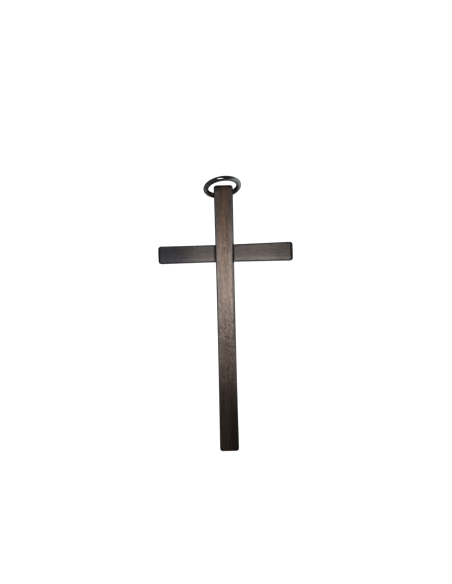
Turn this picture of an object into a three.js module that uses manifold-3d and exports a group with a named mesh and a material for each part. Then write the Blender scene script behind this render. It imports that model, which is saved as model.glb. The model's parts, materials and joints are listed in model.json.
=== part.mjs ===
// A plain wooden cross of two halved bars, with a metal ring through its top.
// Millimetres. The cross lies on its back: +X along the crossbar, +Y towards the ring,
// +Z out of the front. The origin is on the back, in the middle of the crossing.

import * as THREE from 'three';
import * as BufferGeometryUtils from 'three/addons/utils/BufferGeometryUtils.js';
import Module from 'manifold-3d';

const wasm = await Module();
wasm.setup();

// The bars
const UPRIGHT_LENGTH = 100;
const UPRIGHT_END_WIDTH = 7.35;
const UPRIGHT_WAIST_WIDTH = 6.95;
const CROSSBAR_LENGTH = 50.7;
const CROSSBAR_LEFT_WIDTH = 6.75;
const CROSSBAR_WAIST_WIDTH = 6.65;
const CROSSBAR_RIGHT_WIDTH = 7.25;
const BAR_THICKNESS = 6;
const EDGE_ROUNDING = 0.5;
const CORNER_RADIUS = 1.1;

// How the bars cross
const CROSSING_BELOW_TOP = 25.6;
const CROSSBAR_OFFSET = 0.3;
const CROSSBAR_TILT_DEG = 0.5;
const UPRIGHT_PROUD = 0.3;
const GLUE_GAP = 0.3;

// The hanging ring and the hole that it swings in
const RING_OUTSIDE_DIAMETER = 14.4;
const RING_WIRE_DIAMETER = 2;
const RING_SEAM_GAP = 0.15;
const RING_RAISED_DEG = 65;
const HOLE_BELOW_TOP = 3.2;
const HOLE_SKEW_DEG = 8;
const HOLE_CLEARANCE = 0.15;

// How finely curves are divided
const SIDE_STEPS = 10;
const CORNER_STEPS = 5;
const ROUNDING_STEPS = 4;
const HOLE_SIDES = 32;
const WIRE_SIDES = 12;
const RING_STEPS = 60;

const uprightThickness = BAR_THICKNESS + UPRIGHT_PROUD;
const uprightTop = CROSSING_BELOW_TOP;
const uprightMiddle = uprightTop - UPRIGHT_LENGTH / 2;
const lapLevel = BAR_THICKNESS / 2;

// Turns a closed three.js geometry into a solid that can be cut.
function toSolid(geometry) {
  const bare = geometry.index ? geometry.toNonIndexed() : geometry.clone();
  bare.deleteAttribute('normal');
  bare.deleteAttribute('uv');
  const merged = BufferGeometryUtils.mergeVertices(bare, 1e-5);
  return new wasm.Manifold(new wasm.Mesh({
    numProp: 3,
    vertProperties: new Float32Array(merged.attributes.position.array),
    triVerts: new Uint32Array(merged.index.array),
  }));
}

// Turns a solid back into a geometry.
function toGeometry(solid) {
  const mesh = solid.getMesh();
  const geometry = new THREE.BufferGeometry();
  geometry.setAttribute('position', new THREE.BufferAttribute(new Float32Array(mesh.vertProperties), 3));
  geometry.setIndex(new THREE.BufferAttribute(new Uint32Array(mesh.triVerts), 1));
  const flat = geometry.toNonIndexed();
  flat.computeVertexNormals();
  return flat;
}

// The outline of a bar along X, centred on the origin. Its width goes from one end to the
// other through the middle one, and grow widens it on every side.
function barOutline(length, leftWidth, middleWidth, rightWidth, grow) {
  const end = length / 2 + grow;
  const radius = CORNER_RADIUS + grow;
  const left = leftWidth / 2 + grow;
  const right = rightWidth / 2 + grow;
  const bend = 2 * (middleWidth / 2 + grow) - (left + right) / 2;
  const outline = new THREE.Shape();
  outline.moveTo(-end + radius, -left);
  outline.quadraticCurveTo(0, -bend, end - radius, -right);
  outline.absarc(end - radius, -right + radius, radius, -Math.PI / 2, 0);
  outline.absarc(end - radius, right - radius, radius, 0, Math.PI / 2);
  outline.quadraticCurveTo(0, bend, -end + radius, left);
  outline.absarc(-end + radius, left - radius, radius, Math.PI / 2, Math.PI);
  outline.absarc(-end + radius, -left + radius, radius, Math.PI, 1.5 * Math.PI);
  return outline;
}

// Samples an outline with straight steps: few along the sides, more round the corners.
function sampled(outline) {
  const points = [];
  for (const curve of outline.curves) {
    const steps = curve.isEllipseCurve ? CORNER_STEPS : curve.isLineCurve ? 1 : SIDE_STEPS;
    points.push(...curve.getPoints(steps));
  }
  const distinct = points.filter((point, i) => point.distanceTo(points[(i + 1) % points.length]) > 1e-6);
  return new THREE.Shape(distinct);
}

// A bar between two heights, with every edge rounded.
function roundedBar(outline, thickness) {
  const geometry = new THREE.ExtrudeGeometry(sampled(outline), {
    depth: thickness - 2 * EDGE_ROUNDING,
    bevelThickness: EDGE_ROUNDING,
    bevelSize: EDGE_ROUNDING,
    bevelOffset: -EDGE_ROUNDING,
    bevelSegments: ROUNDING_STEPS,
  });
  geometry.translate(0, 0, EDGE_ROUNDING);
  return geometry;
}

// A square-edged block of the same outline, used to cut a notch.
function plainBar(outline, bottom, top) {
  const geometry = new THREE.ExtrudeGeometry(sampled(outline), { depth: top - bottom, bevelEnabled: false });
  geometry.translate(0, 0, bottom);
  return geometry;
}

function uprightOutline(grow) {
  return barOutline(UPRIGHT_LENGTH, UPRIGHT_END_WIDTH, UPRIGHT_WAIST_WIDTH, UPRIGHT_END_WIDTH, grow);
}

function crossbarOutline(grow) {
  return barOutline(CROSSBAR_LENGTH, CROSSBAR_LEFT_WIDTH, CROSSBAR_WAIST_WIDTH, CROSSBAR_RIGHT_WIDTH, grow);
}

// Moves a bar made along X to where the upright is.
function placeUpright(geometry) {
  geometry.rotateZ(Math.PI / 2);
  geometry.translate(0, uprightMiddle, 0);
  return geometry;
}

// Moves a bar made along X to where the crossbar is.
function placeCrossbar(geometry) {
  geometry.translate(CROSSBAR_OFFSET, 0, 0);
  geometry.rotateZ(THREE.MathUtils.degToRad(CROSSBAR_TILT_DEG));
  return geometry;
}

// The ring's wire lies in the hole as a shallow arc: its outer wall is lowest in the middle of
// the hole and its inner wall is highest at the mouths. The hole's axis runs midway between.
// A skewed hole's mouths slant, so its wall runs out further on one side.
const wireRadius = RING_WIRE_DIAMETER / 2;
const ringOuterRadius = RING_OUTSIDE_DIAMETER / 2;
const ringRadius = ringOuterRadius - wireRadius;
const ringInnerRadius = ringRadius - wireRadius;
const holeSkew = THREE.MathUtils.degToRad(HOLE_SKEW_DEG);
const halfSpan = (UPRIGHT_END_WIDTH / 2 + RING_WIRE_DIAMETER * Math.sin(holeSkew)) / Math.cos(holeSkew);
const wireReach = ringOuterRadius - Math.sqrt(ringInnerRadius ** 2 - halfSpan ** 2);
const ringCentre = ringOuterRadius - wireReach / 2;
const holeRadius = wireReach / 2 + HOLE_CLEARANCE;
const holePlace = new THREE.Vector3(0, uprightTop - HOLE_BELOW_TOP, uprightThickness / 2);

function uprightGeometry() {
  const bar = toSolid(placeUpright(roundedBar(uprightOutline(0), uprightThickness)));
  const notch = toSolid(placeCrossbar(
    plainBar(crossbarOutline(GLUE_GAP), -BAR_THICKNESS, lapLevel + GLUE_GAP / 2)));
  const drill = new THREE.CylinderGeometry(holeRadius, holeRadius, 4 * halfSpan, HOLE_SIDES);
  drill.rotateZ(Math.PI / 2 + holeSkew);
  drill.translate(holePlace.x, holePlace.y, holePlace.z);
  return toGeometry(bar.subtract(notch).subtract(toSolid(drill)));
}

function crossbarGeometry() {
  const bar = toSolid(placeCrossbar(roundedBar(crossbarOutline(0), BAR_THICKNESS)));
  const notch = toSolid(placeUpright(
    plainBar(uprightOutline(GLUE_GAP), lapLevel - GLUE_GAP / 2, 2 * BAR_THICKNESS)));
  return toGeometry(bar.subtract(notch));
}

// The ring's centre line: a circle in the XY plane, with a fine cut at the far side of the hole.
class RingLine extends THREE.Curve {
  getPoint(t, target = new THREE.Vector3()) {
    const halfCut = RING_SEAM_GAP / 2 / ringRadius;
    const angle = Math.PI / 2 + halfCut + t * 2 * (Math.PI - halfCut);
    return target.set(ringRadius * Math.cos(angle), ringCentre + ringRadius * Math.sin(angle), 0);
  }
}

function ringGeometry() {
  const circle = new THREE.EllipseCurve(0, 0, wireRadius, wireRadius);
  const section = new THREE.Shape(circle.getPoints(WIRE_SIDES).slice(0, -1));
  return new THREE.ExtrudeGeometry(section, { steps: RING_STEPS, extrudePath: new RingLine() });
}

const uprightWood = new THREE.MeshStandardMaterial({ color: 0x54443b, roughness: 0.45, metalness: 0 });
const crossbarWood = new THREE.MeshStandardMaterial({ color: 0x4a4242, roughness: 0.45, metalness: 0 });
const ringMetal = new THREE.MeshStandardMaterial({ color: 0x3c3e40, roughness: 0.2, metalness: 1 });

const upright = new THREE.Mesh(uprightGeometry(), uprightWood);
upright.name = 'upright';

const crossbar = new THREE.Mesh(crossbarGeometry(), crossbarWood);
crossbar.name = 'crossbar';

const ring = new THREE.Mesh(ringGeometry(), ringMetal);
ring.name = 'ring';

const swing = new THREE.Group();
swing.rotation.x = THREE.MathUtils.degToRad(RING_RAISED_DEG);
swing.add(ring);

const hole = new THREE.Group();
hole.position.copy(holePlace);
hole.rotation.z = holeSkew;
hole.add(swing);

const cross = new THREE.Group();
cross.add(upright, crossbar, hole);

export default cross;
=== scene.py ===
"""A dark-stained wooden cross of two halved bars, with a polished metal ring through its top.

It lies on its back on a pale floor and is seen from above. Each bar and the ring get a detailed
piece in the place of their plain solid. Lengths are in metres, and MM turns millimetres to them.
"""

import json
import math

import bpy
import numpy as np
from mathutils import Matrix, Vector


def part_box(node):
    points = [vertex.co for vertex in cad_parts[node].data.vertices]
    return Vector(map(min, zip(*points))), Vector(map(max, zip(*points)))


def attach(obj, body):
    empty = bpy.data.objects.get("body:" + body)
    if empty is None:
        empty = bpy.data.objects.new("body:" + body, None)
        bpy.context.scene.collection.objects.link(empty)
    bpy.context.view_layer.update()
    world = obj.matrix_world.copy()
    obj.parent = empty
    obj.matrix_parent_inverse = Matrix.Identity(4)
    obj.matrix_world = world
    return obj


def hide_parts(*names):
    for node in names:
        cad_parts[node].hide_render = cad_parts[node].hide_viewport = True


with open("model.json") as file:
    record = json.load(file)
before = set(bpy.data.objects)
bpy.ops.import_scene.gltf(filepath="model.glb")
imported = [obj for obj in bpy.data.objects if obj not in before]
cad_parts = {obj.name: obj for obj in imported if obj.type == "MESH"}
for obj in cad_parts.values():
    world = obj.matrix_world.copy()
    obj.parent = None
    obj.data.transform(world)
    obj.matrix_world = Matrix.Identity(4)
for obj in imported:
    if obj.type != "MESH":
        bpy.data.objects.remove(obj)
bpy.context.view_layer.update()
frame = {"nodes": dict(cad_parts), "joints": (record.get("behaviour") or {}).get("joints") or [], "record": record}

MM = 0.001

# The bars, as the solids have them
EDGE_ROUNDING = 0.5 * MM
CORNER_RADIUS = 1.1 * MM
UPRIGHT_WAIST_WIDTH = 6.95 * MM
CROSSBAR_LENGTH = 50.7 * MM
CROSSBAR_LEFT_WIDTH = 6.75 * MM
CROSSBAR_WAIST_WIDTH = 6.65 * MM
CROSSBAR_RIGHT_WIDTH = 7.25 * MM
CROSSBAR_OFFSET = 0.3 * MM
CROSSBAR_TILT = math.radians(0.5)
GLUE_GAP = 0.3 * MM
EDGE_CROWN = 0.035 * MM

# The ring and its hole
WIRE_RADIUS = 1 * MM
RING_RADIUS = 6.2 * MM
RING_SEAM = 0.002 * MM
RING_WEAR = 0.004 * MM
HOLE_RADIUS = 2.08 * MM
MOUTH_CHAMFER = 0.5 * MM

# How finely the ring and its hole are divided
RING_STEPS = 320
WIRE_SIDES = 48
HOLE_SIDES = 64

# Which coordinate runs along a bar
ALONG_X, ALONG_Y = 0, 1

UPRIGHT_LOW, UPRIGHT_HIGH = (np.array(corner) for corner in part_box("upright"))
CROSSBAR_HIGH = np.array(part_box("crossbar")[1])
UPRIGHT_SIZE = UPRIGHT_HIGH - UPRIGHT_LOW
LAP_LEVEL = CROSSBAR_HIGH[2] / 2

SWING = frame["joints"][0]
HOLE_PLACE = np.array(SWING["pos_m"])
HOLE_AXIS = np.array(SWING["axis"]) / np.linalg.norm(SWING["axis"])


def lattice_value(cells, seed):
    """A fixed random number from -1 to 1 for each whole-numbered cell, by mixing its digits."""
    mixed = cells[..., 0] * 73856093 ^ cells[..., 1] * 19349663 ^ cells[..., 2] * 83492791
    mixed = (mixed ^ seed * 2654435761) & 0x7FFFFFFF
    mixed = (mixed * (mixed * mixed % 1000003 * 15731 + 789221) + 1376312589) & 0x7FFFFFFF
    return mixed / 0x3FFFFFFF - 1


def smooth_noise(points, cell, seed):
    """Smooth noise from -1 to 1: lattice values one cell apart, blended by smooth steps."""
    lattice = points / np.array(cell)
    base = np.floor(lattice).astype(np.int64)
    part = lattice - base
    part = part ** 3 * (part * (6 * part - 15) + 10)
    total = np.zeros(points.shape[:-1])
    for corner in np.ndindex(2, 2, 2):
        share = np.where(corner, part, 1 - part).prod(axis=-1)
        total += share * lattice_value(base + np.array(corner), seed)
    return total


def mesh_object(name, vertices, faces):
    """A smooth-shaded object at the origin with this mesh."""
    mesh = bpy.data.meshes.new(name)
    mesh.from_pydata(vertices, [], faces)
    mesh.update()
    mesh.polygons.foreach_set("use_smooth", np.ones(len(mesh.polygons), bool))
    piece = bpy.data.objects.new(name, mesh)
    bpy.context.scene.collection.objects.link(piece)
    return piece


def closed_tube(grid):
    """Vertices and faces of a grid whose columns close on themselves, with a fan at each end.
    The columns are taken backwards, which turns every face outward."""
    grid = grid[:, ::-1]
    rows, columns = grid.shape[:2]
    here = np.arange(rows * columns).reshape(rows, columns)
    beside = np.roll(here, -1, axis=1)
    quads = np.stack([here[:-1], beside[:-1], beside[1:], here[1:]], axis=-1).reshape(-1, 4)
    first, last = rows * columns, rows * columns + 1
    start = np.stack([np.full(columns, first), beside[0], here[0]], axis=-1)
    end = np.stack([np.full(columns, last), here[-1], beside[-1]], axis=-1)
    poles = [grid[0].mean(axis=0), grid[-1].mean(axis=0)]
    vertices = np.concatenate([grid.reshape(-1, 3), poles])
    return vertices, quads.tolist() + start.tolist() + end.tolist()


def walk_round(straight_steps, side_steps, corner_steps):
    """Once round a rounded rectangle, from the middle of its back: for each point its share of
    the straight half width and half height, and its outward direction."""
    def run(steps, start, end):
        return np.linspace(start, end, steps, endpoint=False)

    quarter = run(corner_steps, 0, math.pi / 2)
    across = [run(straight_steps // 2, 0, 1), np.ones(corner_steps), np.ones(side_steps),
              np.ones(corner_steps), run(straight_steps, 1, -1), -np.ones(corner_steps),
              -np.ones(side_steps), -np.ones(corner_steps), run(straight_steps // 2, -1, 0)]
    upward = [-np.ones(straight_steps // 2), -np.ones(corner_steps), run(side_steps, -1, 1),
              np.ones(corner_steps), np.ones(straight_steps), np.ones(corner_steps),
              run(side_steps, 1, -1), -np.ones(corner_steps), -np.ones(straight_steps // 2)]
    turn = [np.zeros(straight_steps // 2), quarter, np.full(side_steps, math.pi / 2),
            quarter + math.pi / 2, np.full(straight_steps, math.pi), quarter + math.pi,
            np.full(side_steps, 1.5 * math.pi), quarter + 1.5 * math.pi,
            np.full(straight_steps // 2, 2 * math.pi)]
    turn = np.concatenate(turn)
    return np.concatenate(across), np.concatenate(upward), np.sin(turn), -np.cos(turn)


def bar_rows(length, spacing, rounding_steps, cap_steps):
    """Rows along a bar of this length: places along it, how far each row is from the nearer
    end inside the rounded corner, and how far its section shrinks to close the end."""
    turn = np.linspace(0, math.pi / 2, rounding_steps, endpoint=False)
    rounding = CORNER_RADIUS * (1 - np.cos(turn))
    cap = np.linspace(0, 1, cap_steps, endpoint=False)[1:]
    middle = np.linspace(CORNER_RADIUS, length - CORNER_RADIUS,
                         round((length - 2 * CORNER_RADIUS) / spacing))
    along = np.concatenate([np.zeros(len(cap)), rounding, middle,
                            length - rounding[::-1], np.full(len(cap), length)])
    shrink = np.concatenate([cap, np.ones(2 * len(rounding) + len(middle)), cap[::-1]])
    return along, np.minimum(along, length - along), shrink


def pores(around, along, seed):
    """Open pores: in each small cell of the surface one short dash along the grain, which is
    deepest in its middle. Between 0 and 1."""
    cell_wide, cell_long = 0.42 * MM, 3.1 * MM
    wide, long = 0.1 * MM, 1.1 * MM
    column = np.floor(around / cell_wide).astype(np.int64)
    shifted = along + cell_long * lattice_value(np.stack([column, column * 0, column * 0], -1), seed)
    row = np.floor(shifted / cell_long).astype(np.int64)
    cells = np.stack([column, row, row * 0], -1)
    beside = (around / cell_wide - column - 0.5) * cell_wide
    ahead = (shifted / cell_long - row - 0.5) * cell_long
    beside = beside - 0.12 * MM * lattice_value(cells, seed + 1)
    reach = long * (0.6 + 0.4 * lattice_value(cells, seed + 2))
    present = lattice_value(cells, seed + 3) > -0.1
    dip = np.clip(1 - (beside / wide) ** 2, 0, 1) * np.clip(1 - (ahead / reach) ** 2, 0, 1)
    return dip * present


def wood_relief(place, around, end_share, edge_share, seed):
    """How deep the surface lies under the true shape: slow unevenness from sanding by hand,
    fibres and growth rings that run along the bar, pores, and small dents on the edges."""
    slow = 0.5 + 0.5 * smooth_noise(place, (5 * MM, 17 * MM, 5 * MM), seed)
    ring_bend = smooth_noise(place, (6 * MM, 45 * MM, 6 * MM), seed + 1)
    rings = np.sin((place[..., 0] * 0.85 + place[..., 2] * 0.55) / (0.21 * MM) + 4.5 * ring_bend)
    fibre = smooth_noise(place, (0.28 * MM, 16 * MM, 0.28 * MM), seed + 2)
    fine = smooth_noise(place, (0.15 * MM, 5 * MM, 0.15 * MM), seed + 3)
    dents = np.clip(smooth_noise(place, (1.3 * MM, 2.2 * MM, 1.3 * MM), seed + 4) - 0.62, 0, 1)
    pits = pores(around, place[..., 1], seed + 5) * (1 - end_share)
    end_grain = smooth_noise(place, (0.22 * MM, 0.22 * MM, 0.22 * MM), seed + 6)
    return (0.02 * MM * slow + 0.003 * MM * (1 + rings) + 0.005 * MM * (1 + fibre)
            + 0.003 * MM * (1 + fine) + 0.03 * MM * pits + 0.2 * MM * edge_share * dents
            + 0.01 * MM * end_share * (1 + end_grain))


def width_along(share, start, middle, end):
    """The width of a bar at a share of its length: the parabola through these three widths."""
    bend = 2 * middle - (start + end) / 2
    return (1 - share) ** 2 * start + 2 * share * (1 - share) * bend + share ** 2 * end


def bar_surface(length, widths, thickness, spacing, seed):
    """A bar along Y from 0 to its length, resting on Z 0: a rounded rectangle carried along it,
    drawn in by quarter circles at its ends, lowered a little towards its long edges and then
    everywhere by the wood's relief. The widths are those at its start, its middle and its end."""
    across, upward, out_x, out_z = walk_round(straight_steps=44, side_steps=36, corner_steps=12)
    along, from_end, shrink = bar_rows(length, spacing, rounding_steps=8, cap_steps=10)
    inset = np.clip(1 - from_end / CORNER_RADIUS, 0, 1)
    inset = 1 - np.sqrt(1 - inset ** 2)
    half_x = width_along(along / length, *widths) / 2 - CORNER_RADIUS * inset
    half_z = thickness / 2 - EDGE_ROUNDING * inset
    round_here = EDGE_ROUNDING * (1 - inset) + 0.02 * MM
    flat_x = (half_x - round_here)[:, None]
    flat_z = (half_z - round_here)[:, None]
    radius = round_here[:, None]
    x = (across * flat_x + out_x * radius) * shrink[:, None]
    z = (upward * flat_z + out_z * radius) * shrink[:, None]
    y = np.repeat(along[:, None], len(across), axis=1)
    place = np.stack([x, y, z + thickness / 2], axis=-1)
    out_y = np.where(along < length / 2, -1, 1) * inset
    sideways = np.sqrt(1 - out_y ** 2)[:, None]
    out = np.stack([out_x * sideways, np.repeat(out_y[:, None], len(across), 1), out_z * sideways], -1)
    step = np.linalg.norm(np.diff(place, axis=1, append=place[:, :1]), axis=-1)
    around = np.cumsum(step, axis=1)
    end_share = np.repeat(inset[:, None], len(across), axis=1)
    corner = 1 - np.abs(np.abs(out_x) - np.abs(out_z))
    edge_share = np.maximum(corner[None, :], end_share * (shrink[:, None] > 0.9))
    crown = EDGE_CROWN * np.minimum(np.abs(across), np.abs(upward)) ** 4
    depth = crown + wood_relief(place, around, end_share, edge_share, seed)
    return place - out * depth[..., None]


def solid_of_revolution(along, radius, sides, place, axis):
    """A turned solid about an axis: at each distance along it, a circle of that radius."""
    helper = np.array([0.0, 0.0, 1.0])
    side = np.cross(axis, helper)
    side = side / np.linalg.norm(side)
    up = np.cross(side, axis)
    turn = np.linspace(0, 2 * math.pi, sides, endpoint=False)[None, :, None]
    spoke = np.cos(turn) * side + np.sin(turn) * up
    return place + along[:, None, None] * axis + radius[:, None, None] * spoke


def cut(piece, cutter):
    """Takes the cutter's space out of the piece, and the cutter out of the scene."""
    modifier = piece.modifiers.new("cut", "BOOLEAN")
    modifier.operation = "DIFFERENCE"
    modifier.solver = "MANIFOLD"
    modifier.object = cutter
    graph = bpy.context.evaluated_depsgraph_get()
    result = bpy.data.meshes.new_from_object(piece.evaluated_get(graph))
    piece.modifiers.clear()
    piece.data = result
    bpy.data.objects.remove(cutter)


def block(name, low, high, turned=0.0):
    """A plain block between two corners, turned about the vertical through the origin, to cut with."""
    corners = np.array([[x, y, z] for x in (low[0], high[0]) for y in (low[1], high[1])
                        for z in (low[2], high[2])])
    cosine, sine = math.cos(turned), math.sin(turned)
    x = corners[:, 0] * cosine - corners[:, 1] * sine
    y = corners[:, 0] * sine + corners[:, 1] * cosine
    corners = np.stack([x, y, corners[:, 2]], axis=-1)
    faces = [(0, 1, 3, 2), (4, 6, 7, 5), (0, 4, 5, 1), (2, 3, 7, 6), (0, 2, 6, 4), (1, 5, 7, 3)]
    return mesh_object(name, corners, faces)


def finish_edges(piece, angle):
    """Smooth shading, apart from edges sharper than the angle in degrees."""
    mesh = piece.data
    mesh.polygons.foreach_set("use_smooth", np.ones(len(mesh.polygons), bool))
    mesh.set_sharp_from_angle(angle=math.radians(angle))
    mesh.update()


def make_upright():
    """The long bar: narrowest halfway along, notched at the back, drilled near its top."""
    end_width = UPRIGHT_SIZE[0]
    widths = (end_width, UPRIGHT_WAIST_WIDTH, end_width)
    grid = bar_surface(UPRIGHT_SIZE[1], widths, UPRIGHT_SIZE[2], spacing=0.28 * MM, seed=11)
    grid = grid + np.array([0, UPRIGHT_LOW[1], 0])
    upright = mesh_object("upright_wood", *closed_tube(grid))
    half_notch = CROSSBAR_WAIST_WIDTH / 2 + GLUE_GAP
    notch_low = (-CROSSBAR_LENGTH / 2, -half_notch, -LAP_LEVEL)
    notch_high = (CROSSBAR_LENGTH / 2, half_notch, LAP_LEVEL + GLUE_GAP / 2)
    cut(upright, block("notch", notch_low, notch_high, turned=CROSSBAR_TILT))
    mouth = end_width / 2 - MOUTH_CHAMFER / 2
    along = np.array([-2, -1.12, -1, -0.6, 0, 0.6, 1, 1.12, 2]) * mouth
    radius = HOLE_RADIUS + MOUTH_CHAMFER * np.array([1, 1, 0, 0, 0, 0, 0, 1, 1])
    drill = solid_of_revolution(along, radius, HOLE_SIDES, HOLE_PLACE, HOLE_AXIS)
    cut(upright, mesh_object("drill", *closed_tube(drill)))
    finish_edges(upright, angle=35)
    return upright


def make_crossbar():
    """The short bar: a little wider to the right, tilted a little, notched at the front."""
    widths = (CROSSBAR_LEFT_WIDTH, CROSSBAR_WAIST_WIDTH, CROSSBAR_RIGHT_WIDTH)
    grid = bar_surface(CROSSBAR_LENGTH, widths, CROSSBAR_HIGH[2], spacing=0.25 * MM, seed=23)
    along = grid[..., 1] - CROSSBAR_LENGTH / 2 + CROSSBAR_OFFSET
    across = -grid[..., 0]
    x = along * math.cos(CROSSBAR_TILT) - across * math.sin(CROSSBAR_TILT)
    y = along * math.sin(CROSSBAR_TILT) + across * math.cos(CROSSBAR_TILT)
    crossbar = mesh_object("crossbar_wood", *closed_tube(np.stack([x, y, grid[..., 2]], -1)))
    share = UPRIGHT_HIGH[1] / UPRIGHT_SIZE[1]
    half_notch = width_along(share, UPRIGHT_SIZE[0], UPRIGHT_WAIST_WIDTH, UPRIGHT_SIZE[0]) / 2 + GLUE_GAP
    notch_low = (-half_notch, UPRIGHT_LOW[1], LAP_LEVEL - GLUE_GAP / 2)
    notch_high = (half_notch, UPRIGHT_HIGH[1], 2 * CROSSBAR_HIGH[2])
    cut(crossbar, block("notch", notch_low, notch_high))
    finish_edges(crossbar, angle=35)
    return crossbar


def make_ring():
    """A wire bent to a circle in the plane of the ring's solid, whose ends all but meet
    opposite the hole."""
    node = frame["nodes"]["ring"]
    points = np.array([vertex.co for vertex in node.data.vertices])
    centre = (points.min(axis=0) + points.max(axis=0)) / 2
    normal = np.cross(HOLE_AXIS, centre - HOLE_PLACE)
    normal = normal / np.linalg.norm(normal)
    outward = np.cross(normal, HOLE_AXIS)
    reach = (points - HOLE_PLACE) @ outward
    centre = HOLE_PLACE + outward * (reach.max() - RING_RADIUS - WIRE_RADIUS)

    half_seam = RING_SEAM / 2 / RING_RADIUS
    bend = np.linspace(half_seam, 2 * math.pi - half_seam, RING_STEPS)
    round_wire = np.linspace(0, 2 * math.pi, WIRE_SIDES, endpoint=False)[None, :]
    angle = bend[:, None] + math.pi / 2
    spoke = np.cos(angle)[..., None] * HOLE_AXIS + np.sin(angle)[..., None] * outward
    wear_place = np.broadcast_arrays(4 * np.cos(angle), 4 * np.sin(angle), 2 * np.cos(round_wire))
    wear = smooth_noise(np.stack(wear_place, -1), cell=(1, 1, 1), seed=7)
    wire = (WIRE_RADIUS - RING_WEAR * (1 + wear))[..., None]
    grid = (centre + (RING_RADIUS + wire * np.cos(round_wire)[..., None]) * spoke
            + wire * np.sin(round_wire)[..., None] * normal)
    ring = mesh_object("ring_metal", *closed_tube(grid))
    finish_edges(ring, angle=50)
    return ring


class Nodes:
    """A short way to write a material's nodes."""

    def __init__(self, name):
        self.material = bpy.data.materials.new(name)
        self.material.use_nodes = True
        self.tree = self.material.node_tree
        self.shader = self.tree.nodes["Principled BSDF"]

    def add(self, kind, inputs=None, **settings):
        """A node with these settings. An input is a value, or a socket to join to it."""
        node = self.tree.nodes.new(kind)
        for key, value in settings.items():
            setattr(node, key, value)
        for key, value in (inputs or {}).items():
            self.join(value, node.inputs[key])
        return node

    def join(self, value, socket):
        if isinstance(value, bpy.types.NodeSocket):
            self.tree.links.new(value, socket)
        else:
            socket.default_value = value

    def maths(self, operation, first, second=0.0):
        return self.add("ShaderNodeMath", {0: first, 1: second}, operation=operation).outputs[0]

    def noise(self, place, scale, detail, roughness):
        return self.add("ShaderNodeTexNoise", {"Vector": place, "Scale": scale, "Detail": detail,
                                               "Roughness": roughness}).outputs["Fac"]

    def step(self, value, low, high, to_low=0.0, to_high=1.0):
        return self.add("ShaderNodeMapRange", {"Value": value, "From Min": low, "From Max": high,
                                               "To Min": to_low, "To Max": to_high},
                        interpolation_type="SMOOTHSTEP").outputs["Result"]

    def within(self, value, edges):
        """1 where the value lies between the middle two of four rising edges, 0 beyond the others."""
        rise = self.step(value, edges[0], edges[1])
        fall = self.step(value, edges[3], edges[2])
        return self.maths("MULTIPLY", rise, fall)

    def mix(self, share, first, second, blend_type="MIX"):
        node = self.tree.nodes.new("ShaderNodeMix")
        node.data_type = "RGBA"
        node.blend_type = blend_type
        self.join(share, node.inputs[0])
        self.join(first, node.inputs[6])
        self.join(second, node.inputs[7])
        return node.outputs[2]

    def grain_place(self, along_axis, stretch):
        """Object coordinates in millimetres, drawn out along the grain."""
        scale = [1 / MM] * 3
        scale[along_axis] = 1 / MM / stretch
        place = self.add("ShaderNodeTexCoord").outputs["Object"]
        return self.add("ShaderNodeMapping", {"Vector": place, "Scale": scale}).outputs[0]


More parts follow.
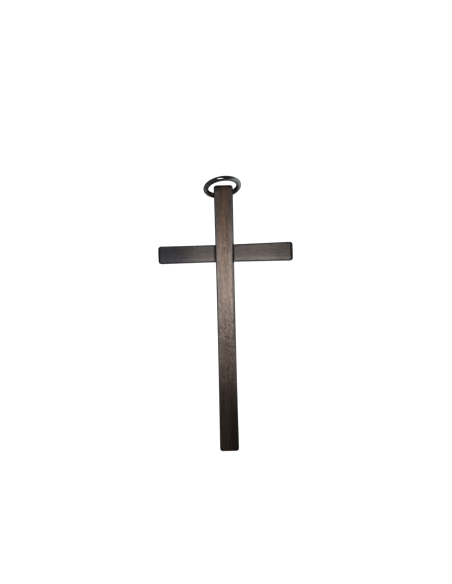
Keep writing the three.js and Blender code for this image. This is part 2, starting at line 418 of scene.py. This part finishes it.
def wood_material(name, along_axis, stain, gloss, painted_light_patches):
    """Stained wood rubbed to a satin: fibres, growth rings and pores drawn out along the bar, a stain that changes
    slowly along it, a colour that sets in towards one end, and a gloss that is wide across the fibres and narrow
    along them. On the upright the end colour is a rubbed-off stain; on the crossbar it is partly a stain and
    partly painted cool reflection. The painted light patches are painted highlight and painted shade, multiplied
    into the colour and the gloss's strength. Each is by how much a patch of the bar is lighter or darker than the
    rest, and between which places across and along it, in mm."""
    nodes = Nodes(name)

    def grain(stretch, scale, detail, roughness):
        return nodes.noise(nodes.grain_place(along_axis, stretch), scale, detail, roughness)

    fibres = grain(stretch=18, scale=3.2, detail=4, roughness=0.6)
    streaks = grain(stretch=16, scale=1.5, detail=2, roughness=0.5)
    flecks = grain(stretch=gloss["fleck_stretch"], scale=2.6, detail=3, roughness=0.65)
    slow = grain(stretch=3.5, scale=0.16, detail=2, roughness=0.5)
    pits = grain(stretch=9, scale=5.0, detail=2, roughness=0.5)
    split = nodes.add("ShaderNodeSeparateXYZ", {0: nodes.add("ShaderNodeTexCoord").outputs["Object"]})
    across = nodes.maths("DIVIDE", split.outputs[1 - along_axis], MM)
    along = nodes.maths("DIVIDE", split.outputs[along_axis], MM)
    from_middle = nodes.maths("ABSOLUTE", across)

    body = nodes.mix(nodes.step(streaks, 0.36, 0.66), stain["dark"], stain["mid"])
    body = nodes.mix(nodes.step(fibres, 0.45, 0.72), body, stain["light"])
    body = nodes.mix(nodes.step(slow, 0.42, 0.66, 0, 0.6), body, stain["patch"])
    # the end colour: on the upright a rubbed-off stain, on the crossbar partly a stain and partly painted cool
    # reflection
    rubbed_and_cool_sheen = nodes.maths("MULTIPLY", nodes.step(along, *stain["end_reach"]),
                       nodes.step(from_middle, *stain["end_width"]))
    rubbed_and_cool_sheen = nodes.maths("MULTIPLY", rubbed_and_cool_sheen, nodes.step(streaks, 0.3, 0.65))
    body = nodes.mix(rubbed_and_cool_sheen, body, stain["end"])
    pore = nodes.step(pits, 0.36, 0.28)
    body = nodes.mix(nodes.maths("MULTIPLY", pore, 0.75), body, stain["pore"])

    # painted light: painted highlight and painted shade patches, multiplied into the colour and into the gloss's
    # strength below
    painted_light = 1.0
    for amount, across_edges, along_edges in painted_light_patches:
        here = nodes.maths("MULTIPLY", nodes.within(across, across_edges),
                           nodes.within(along, along_edges))
        painted_light = nodes.maths("MULTIPLY", painted_light, nodes.step(here, 0, 1, 1, 1 + amount))
    painted_light_grey = nodes.add("ShaderNodeCombineColor", {0: painted_light, 1: painted_light, 2: painted_light}).outputs[0]
    nodes.join(nodes.mix(1.0, body, painted_light_grey, "MULTIPLY"), nodes.shader.inputs["Base Color"])

    fibre_share, pore_share = 0.008, 0.1
    rough = nodes.step(fibres, 0.3, 0.7, gloss["roughness"] + fibre_share, gloss["roughness"] - fibre_share)
    rough = nodes.maths("ADD", rough, nodes.maths("MULTIPLY", pore, pore_share))
    nodes.join(rough, nodes.shader.inputs["Roughness"])
    mottle = nodes.mix(gloss["fleck_share"], streaks, flecks)
    level = nodes.step(mottle, 0.36, 0.64, gloss["dull"], gloss["bright"])
    nodes.join(nodes.maths("MULTIPLY", level, painted_light), nodes.shader.inputs["Specular IOR Level"])
    tint = nodes.mix(nodes.step(from_middle, 1.0, 3.0), gloss["tint"], gloss["side_tint"])
    tint = nodes.mix(rubbed_and_cool_sheen, tint, gloss["end_tint"])
    nodes.join(tint, nodes.shader.inputs["Specular Tint"])

    height = nodes.maths("ADD", nodes.maths("MULTIPLY", fibres, 0.8),
                         nodes.maths("MULTIPLY", pits, 0.5))
    height = nodes.maths("SUBTRACT", height, nodes.maths("MULTIPLY", pore, 0.8))
    bump = nodes.add("ShaderNodeBump", {"Height": height, "Strength": 0.3, "Distance": 0.02 * MM})
    nodes.join(bump.outputs[0], nodes.shader.inputs["Normal"])
    tangent = nodes.add("ShaderNodeTangent", direction_type="RADIAL", axis="XYZ"[along_axis])
    nodes.join(tangent.outputs[0], nodes.shader.inputs["Tangent"])
    nodes.shader.inputs["Anisotropic"].default_value = gloss["stretch"]
    return nodes.material


def metal_material(name):
    """Polished dark nickel: a grey mirror with dull patches and very faint rub marks."""
    nodes = Nodes(name)
    place = nodes.grain_place(ALONG_X, stretch=1)
    cloud = nodes.noise(place, scale=0.45, detail=3, roughness=0.6)
    rubs = nodes.noise(place, scale=9, detail=2, roughness=0.5)
    bright, dull = (0.40, 0.41, 0.41, 1), (0.28, 0.29, 0.285, 1)
    colour = nodes.mix(nodes.step(cloud, 0.35, 0.7), bright, dull)
    nodes.join(colour, nodes.shader.inputs["Base Color"])
    nodes.shader.inputs["Metallic"].default_value = 1
    nodes.join(nodes.step(cloud, 0.3, 0.75, 0.12, 0.22), nodes.shader.inputs["Roughness"])
    bump = nodes.add("ShaderNodeBump", {"Height": rubs, "Strength": 0.05, "Distance": 0.01 * MM})
    nodes.join(bump.outputs[0], nodes.shader.inputs["Normal"])
    return nodes.material


def dress(piece, node, material):
    """Lets a piece stand for its node, on the node's body, with its material."""
    piece.data.materials.clear()
    piece.data.materials.append(material)
    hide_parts(node)
    body = next(name for name, members in frame["record"]["behaviour"]["bodies"].items()
                if node in members)
    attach(piece, body)


# The photograph's view: its frame in pixels, the size of a pixel on the cross's front, how far
# the upright leans in it, and where the middle of the wood's top edge is
PHOTO_WIDTH, PHOTO_HEIGHT = 452, 584
PIXEL = 0.3748 * MM
LEAN = math.radians(1.41)
TOP_PIXEL = (223.1, 184.8)
CAMERA_HEIGHT = 420 * MM


def make_camera():
    """Straight above the point that the middle of the photograph shows."""
    right = (PHOTO_WIDTH / 2 - TOP_PIXEL[0]) * PIXEL
    down = (PHOTO_HEIGHT / 2 - TOP_PIXEL[1]) * PIXEL
    x = right * math.cos(LEAN) - down * math.sin(LEAN)
    y = UPRIGHT_HIGH[1] - right * math.sin(LEAN) - down * math.cos(LEAN)
    data = bpy.data.cameras.new("camera")
    data.lens = data.sensor_width * CAMERA_HEIGHT / (PHOTO_HEIGHT * PIXEL)
    data.clip_start = 0.01
    data.clip_end = 20
    camera = bpy.data.objects.new("camera", data)
    camera.location = (x, y, UPRIGHT_HIGH[2] + CAMERA_HEIGHT)
    camera.rotation_euler = (0, 0, -LEAN)
    bpy.context.scene.collection.objects.link(camera)
    bpy.context.scene.camera = camera
    return camera


def make_light(name, place, aim, size, power, colour=(1, 1, 1)):
    """A rectangular soft light at a place, turned to a point, that gives this power in watts."""
    data = bpy.data.lights.new(name, "AREA")
    data.shape = "RECTANGLE"
    data.size, data.size_y = size
    data.energy = power
    data.color = colour
    light = bpy.data.objects.new(name, data)
    light.location = place
    towards = np.array(aim) - np.array(place)
    light.rotation_mode = "QUATERNION"
    light.rotation_quaternion = Vector(towards).to_track_quat("-Z", "Y")
    bpy.context.scene.collection.objects.link(light)


def make_floor():
    """A pale sweep: flat under the cross, and curved up to a wall all round far away."""
    flat, bend, wall = 3.0, 1.0, 0.2
    turn = np.linspace(0, math.pi / 2, 17)
    radius = np.concatenate([[0.05, 0.6, flat], flat + bend * np.sin(turn[1:]), [flat + bend]])
    height = np.concatenate([[0, 0, 0], bend * (1 - np.cos(turn[1:])), [bend + wall]])
    around = np.linspace(0, 2 * math.pi, 96, endpoint=False)
    grid = np.stack([radius[:, None] * np.cos(around), radius[:, None] * np.sin(around),
                     np.repeat(height[:, None], len(around), 1)], -1)
    rows, columns = grid.shape[:2]
    here = np.arange(rows * columns).reshape(rows, columns)
    beside = np.roll(here, -1, axis=1)
    quads = np.stack([here[:-1], here[1:], beside[1:], beside[:-1]], axis=-1).reshape(-1, 4)
    floor = mesh_object("floor", grid.reshape(-1, 3), quads.tolist() + [here[0].tolist()])
    nodes = Nodes("floor_paint")
    nodes.shader.inputs["Base Color"].default_value = (0.85, 0.85, 0.85, 1)
    nodes.shader.inputs["Roughness"].default_value = 0.9
    nodes.shader.inputs["Specular IOR Level"].default_value = 0
    nodes.shader.inputs["Emission Color"].default_value = (1, 1, 1, 1)
    nodes.shader.inputs["Emission Strength"].default_value = 1.0
    floor.data.materials.append(nodes.material)
    floor.visible_glossy = False


def make_world():
    """A dim room, darkest overhead, with a pale glow low down to the right and a fainter one
    low down to the left, where the ring mirrors them."""
    world = bpy.data.worlds.new("room")
    world.use_nodes = True
    tree = world.node_tree
    place = tree.nodes.new("ShaderNodeTexCoord")

    def glow(direction, likenesses, strengths):
        """A strength that changes with how nearly a way of looking is this direction."""
        likeness = tree.nodes.new("ShaderNodeVectorMath")
        likeness.operation = "DOT_PRODUCT"
        likeness.inputs[1].default_value = direction
        tree.links.new(place.outputs["Generated"], likeness.inputs[0])
        share = tree.nodes.new("ShaderNodeMapRange")
        share.interpolation_type = "SMOOTHSTEP"
        for name, value in zip(("From Min", "From Max", "To Min", "To Max"), likenesses + strengths):
            share.inputs[name].default_value = value
        tree.links.new(likeness.outputs["Value"], share.inputs["Value"])
        return share.outputs["Result"]

    def total(first, second):
        node = tree.nodes.new("ShaderNodeMath")
        tree.links.new(first, node.inputs[0])
        tree.links.new(second, node.inputs[1])
        return node.outputs[0]

    overhead = glow((0, 0, 1), likenesses=(0.3, 0.95), strengths=(0.08, 0.02))
    right = glow((0.85, -0.3, -0.4), likenesses=(0.35, 0.85), strengths=(0, 0.45))
    left = glow((-0.6, -0.6, -0.5), likenesses=(0.6, 0.95), strengths=(0, 0.08))
    background = tree.nodes["Background"]
    background.inputs["Color"].default_value = (0.95, 0.98, 1, 1)
    tree.links.new(total(total(overhead, right), left), background.inputs["Strength"])
    bpy.context.scene.world = world


bpy.context.scene.view_settings.view_transform = "Standard"
camera = make_camera()
make_world()
make_floor()
CENTRE = (camera.location.x, camera.location.y, UPRIGHT_HIGH[2])
make_light("key", place=(0.02, CENTRE[1] + 0.0052, 0.6), aim=CENTRE, size=(0.07, 0.07), power=0.515)
make_light("window", place=(-0.11, 0.15, 0.5), aim=(0, 0.02, 0), size=(0.14, 0.1), power=0.38,
           colour=(0.95, 0.98, 1))

# Stains: the colours of the wood and its pores, and the end colour, which sets in between two places along the bar
# and between two distances from its middle, in mm. On the upright the end colour is a rubbed-off stain; on the
# crossbar, bluish grey towards its left end, it is partly a stain and partly painted cool reflection.
UPRIGHT_STAIN = {"dark": (0.020, 0.0140, 0.0115, 1), "mid": (0.035, 0.0235, 0.0190, 1),
                 "light": (0.062, 0.041, 0.0315, 1), "patch": (0.041, 0.028, 0.0235, 1),
                 "pore": (0.006, 0.005, 0.005, 1), "end": (0.12, 0.058, 0.032, 1),
                 "end_reach": (-14, 10), "end_width": (2.9, 0.8)}
CROSSBAR_STAIN = {"dark": (0.020, 0.0182, 0.0186, 1), "mid": (0.034, 0.0295, 0.030, 1),
                  "light": (0.058, 0.0505, 0.0515, 1), "patch": (0.040, 0.035, 0.039, 1),
                  "pore": (0.006, 0.006, 0.006, 1), "end": (0.036, 0.036, 0.045, 1),
                  "end_reach": (-8, -24), "end_width": (9, 3)}
# Glosses: how rough, how far the highlight is drawn out, its least and greatest strength, its tints along the
# middle, at the sides and where the end colour sets in (bluish on the crossbar, with its painted cool reflection),
# and how long its flecks are and how much of its mottling they make up
UPRIGHT_GLOSS = {"roughness": 0.291, "stretch": 0.911, "dull": 0.73, "bright": 1.3,
                 "tint": (1, 0.765, 0.645, 1), "side_tint": (1, 0.85, 0.8, 1),
                 "end_tint": (1, 0.69, 0.5, 1), "fleck_stretch": 4, "fleck_share": 0.65}
CROSSBAR_GLOSS = {"roughness": 0.3275, "stretch": 0.792, "dull": 0.42, "bright": 0.65,
                  "tint": (1, 0.83, 0.76, 1), "side_tint": (1, 0.9, 0.86, 1),
                  "end_tint": (0.9, 0.96, 1.2, 1), "fleck_stretch": 2, "fleck_share": 0.85}

# Painted light: patches painted lighter as painted highlight or darker as painted shade, by how much, between
# which edges across the bar, and between which along it, in mm.
# BEFORE and BEYOND are edges that lie off the cross.
BEFORE = (-90, -80)
BEYOND = (80, 90)
EVERYWHERE = (*BEFORE, *BEYOND)
BESIDE_CROSSBAR = (-3.9, -3.4, 3.4, 3.9)
UPRIGHT_PAINTED_LIGHT = [
    # painted shade on the right of the foot, and painted highlight at the lower end of the highlight, first its
    # left and then all of it
    (-0.45, (-2, 2.6, *BEYOND), (*BEFORE, -66, -46)),
    (0.15, (-4, -3, -1.5, 0), (-46, -42, -32, -27)),
    (0.42, EVERYWHERE, (-53.5, -45, -42.5, -34.5)),
    # a painted highlight along a strip on the right below the crossing, and a painted shade line beside it
    (0.2, (1.1, 1.7, 2.3, 2.5), (-34, -28, -3, 2)),
    (-0.35, (2.35, 2.6, 2.9, 3.1), (-36, -30, -3, 2)),
    # painted shade over the top, and a painted shade band just below its edge
    (-0.15, EVERYWHERE, (15.5, 19.5, *BEYOND)),
    (-0.35, EVERYWHERE, (22.7, 23.6, 24.2, 25)),
    # painted shade in the seams beside the crossbar
    (-0.5, (*BEFORE, -3.3, -3), BESIDE_CROSSBAR),
    (-0.8, (2.6, 2.9, *BEYOND), BESIDE_CROSSBAR),
]
CROSSBAR_PAINTED_LIGHT = [
    # painted highlight, lighter towards the lower edge
    (0.3, (*BEFORE, -3, 2.4), EVERYWHERE),
    (0.3, (*BEFORE, -2.3, -1.3), EVERYWHERE),
    # painted shade, darker to the left end, just right of the crossing, and to the right end
    (-0.5, EVERYWHERE, (*BEFORE, -20.5, -6.5)),
    (-0.14, EVERYWHERE, (2, 3, 8, 13)),
    (-0.15, EVERYWHERE, (13, 25, *BEYOND)),
    # painted shade in the seam left of the upright
    (-0.6, EVERYWHERE, (-4.4, -4, -3, -2.9)),
]

dress(make_upright(), "upright",
      wood_material("upright_stain", ALONG_Y, UPRIGHT_STAIN, UPRIGHT_GLOSS, UPRIGHT_PAINTED_LIGHT))
dress(make_crossbar(), "crossbar",
      wood_material("crossbar_stain", ALONG_X, CROSSBAR_STAIN, CROSSBAR_GLOSS, CROSSBAR_PAINTED_LIGHT))
dress(make_ring(), "ring", metal_material("dark_nickel"))
